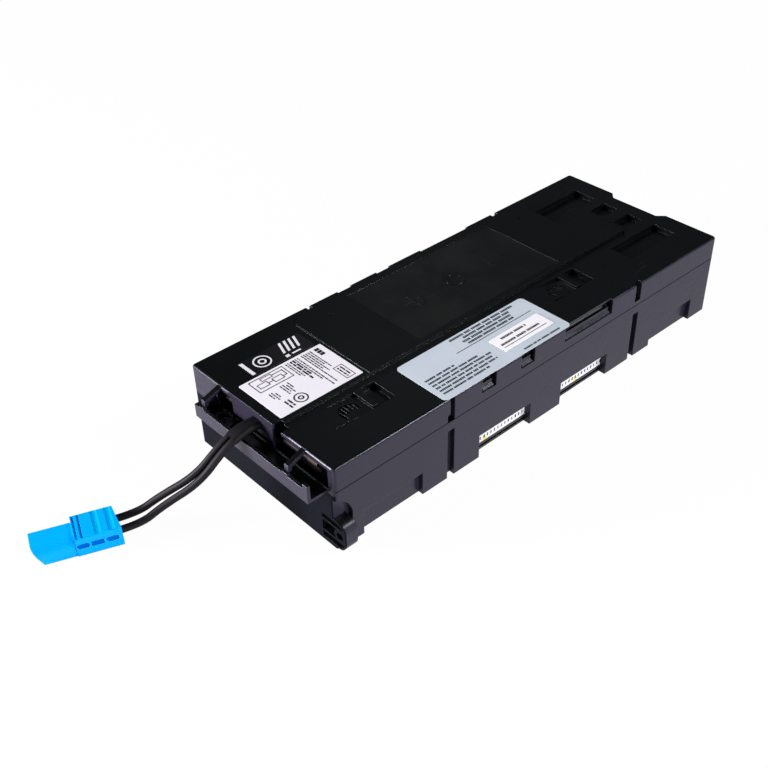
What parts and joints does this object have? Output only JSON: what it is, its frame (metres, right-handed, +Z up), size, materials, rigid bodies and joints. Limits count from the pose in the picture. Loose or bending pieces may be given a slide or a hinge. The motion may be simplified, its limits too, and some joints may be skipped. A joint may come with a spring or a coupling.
{
  "type": "ups battery cartridge",
  "caption": "Replaceable battery cartridge for an uninterruptible power supply: sealed lead-acid blocks in a snap-together black tray and cover, with short leads to a blue plug.",
  "frame": {"origin": "centre of the underside of the lower tray", "axes": "+X along the row of batteries, away from the cable end; +Z up out of the cover; the fixing lug is on the -Y side"},
  "size_m": [0.5908, 0.1715, 0.0751],
  "materials": {
    "case_plastic": "semi-gloss moulded black",
    "battery_plastic": "moulded dark grey",
    "battery_lid_plastic": "moulded dark grey",
    "tab_metal": "tinned",
    "receptacle_metal": "tinned brass",
    "paper_white": "printed film",
    "film_white": "printed film",
    "film_dark": "printed gloss film",
    "film_silver": "printed silver-grey film",
    "screw_steel": "zinc plated",
    "plug_plastic": "moulded blue",
    "contact_metal": "silver plated copper",
    "sleeve_rubber": "flexible sleeve",
    "lead_insulation": "soft sheen"
  },
  "bodies": {
    "root": {"battery_1_case": "battery_plastic", "battery_1_label": "paper_white", "battery_1_lid": "battery_lid_plastic", "battery_1_receptacles": "receptacle_metal", "battery_1_terminals": "tab_metal", "battery_1_vent_strip": "battery_lid_plastic", "battery_2_case": "battery_plastic", "battery_2_label": "paper_white", "battery_2_lid": "battery_lid_plastic", "battery_2_receptacles": "receptacle_metal", "battery_2_terminals": "tab_metal", "battery_2_vent_strip": "battery_lid_plastic", "battery_3_case": "battery_plastic", "battery_3_label": "paper_white", "battery_3_lid": "battery_lid_plastic", "battery_3_receptacles": "receptacle_metal", "battery_3_terminals": "tab_metal", "battery_3_vent_strip": "battery_lid_plastic", "battery_4_case": "battery_plastic", "battery_4_label": "paper_white", "battery_4_lid": "battery_lid_plastic", "battery_4_receptacles": "receptacle_metal", "battery_4_terminals": "tab_metal", "battery_4_vent_strip": "battery_lid_plastic", "cable_sleeve": "sleeve_rubber", "caution_label": "film_silver", "dark_label": "film_dark", "date_sticker": "film_white", "inner_lead_negative": "lead_insulation", "inner_lead_positive": "lead_insulation", "jumper_1": "lead_insulation", "jumper_2": "lead_insulation", "jumper_3": "lead_insulation", "lead_negative": "lead_insulation", "lead_positive": "lead_insulation", "lower_tray": "case_plastic", "plug_contacts": "contact_metal", "plug_housing": "plug_plastic", "rating_label": "film_white", "shelf_screw": "screw_steel", "top_cover": "case_plastic"}
  },
  "joints": []
}
